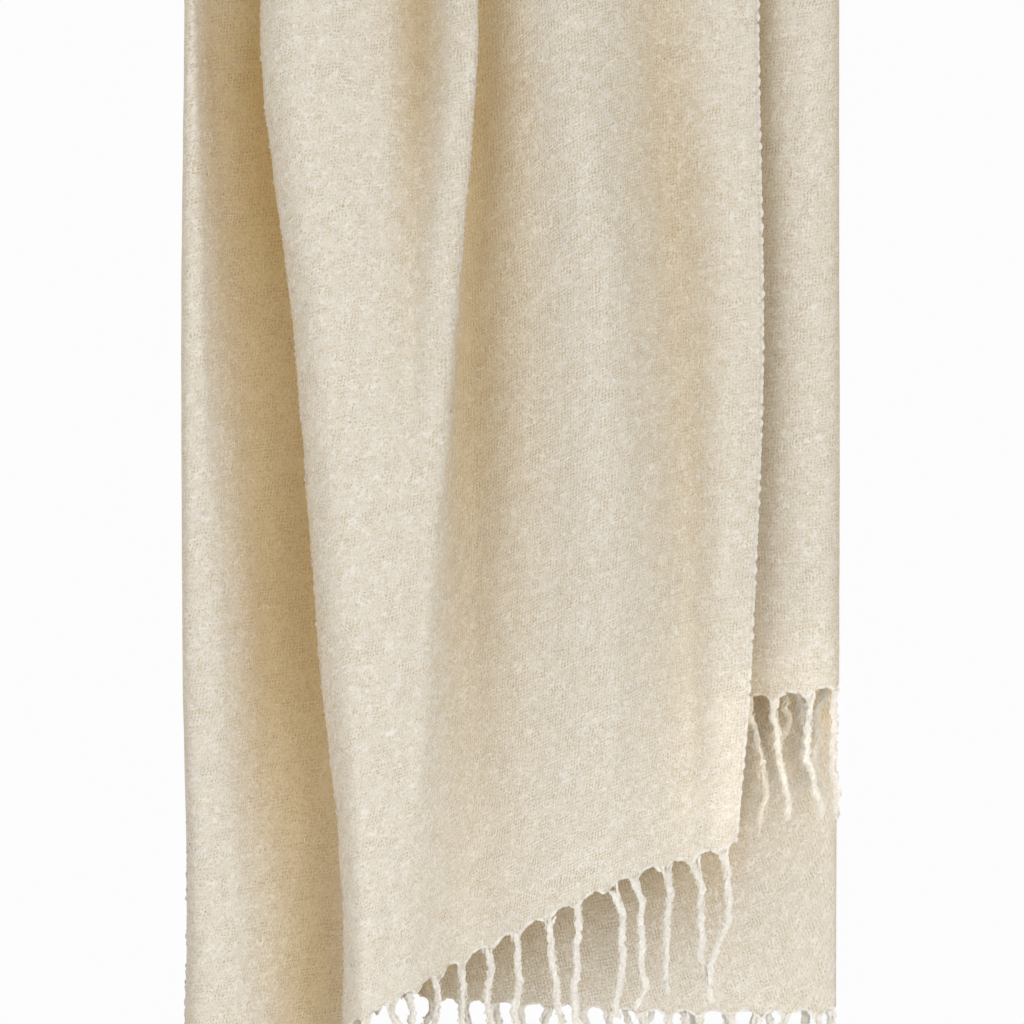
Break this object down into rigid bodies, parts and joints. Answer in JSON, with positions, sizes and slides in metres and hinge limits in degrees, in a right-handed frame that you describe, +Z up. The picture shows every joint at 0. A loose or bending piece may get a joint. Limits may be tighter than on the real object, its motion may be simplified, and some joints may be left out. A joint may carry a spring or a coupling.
{
  "type": "boucle throw",
  "caption": "Cream boucle throw with a twisted yarn fringe at both ends, folded in three and hung over a rail so that it falls in soft vertical folds.",
  "frame": {"origin": "where the cloth rests on top of the rail that it hangs over, midway along it", "axes": "+Z up, +X to the right along the rail as seen from the front, front faces -Y"},
  "size_m": [0.4516, 0.159, 0.9383],
  "materials": {
    "boucle_cloth": "soft looped boucle weave in undyed cream",
    "fringe_yarn": "twisted looped yarn in undyed cream"
  },
  "bodies": {
    "root": {"cloth": "boucle_cloth", "front_fringe": "fringe_yarn", "back_fringe": "fringe_yarn"}
  },
  "joints": []
}
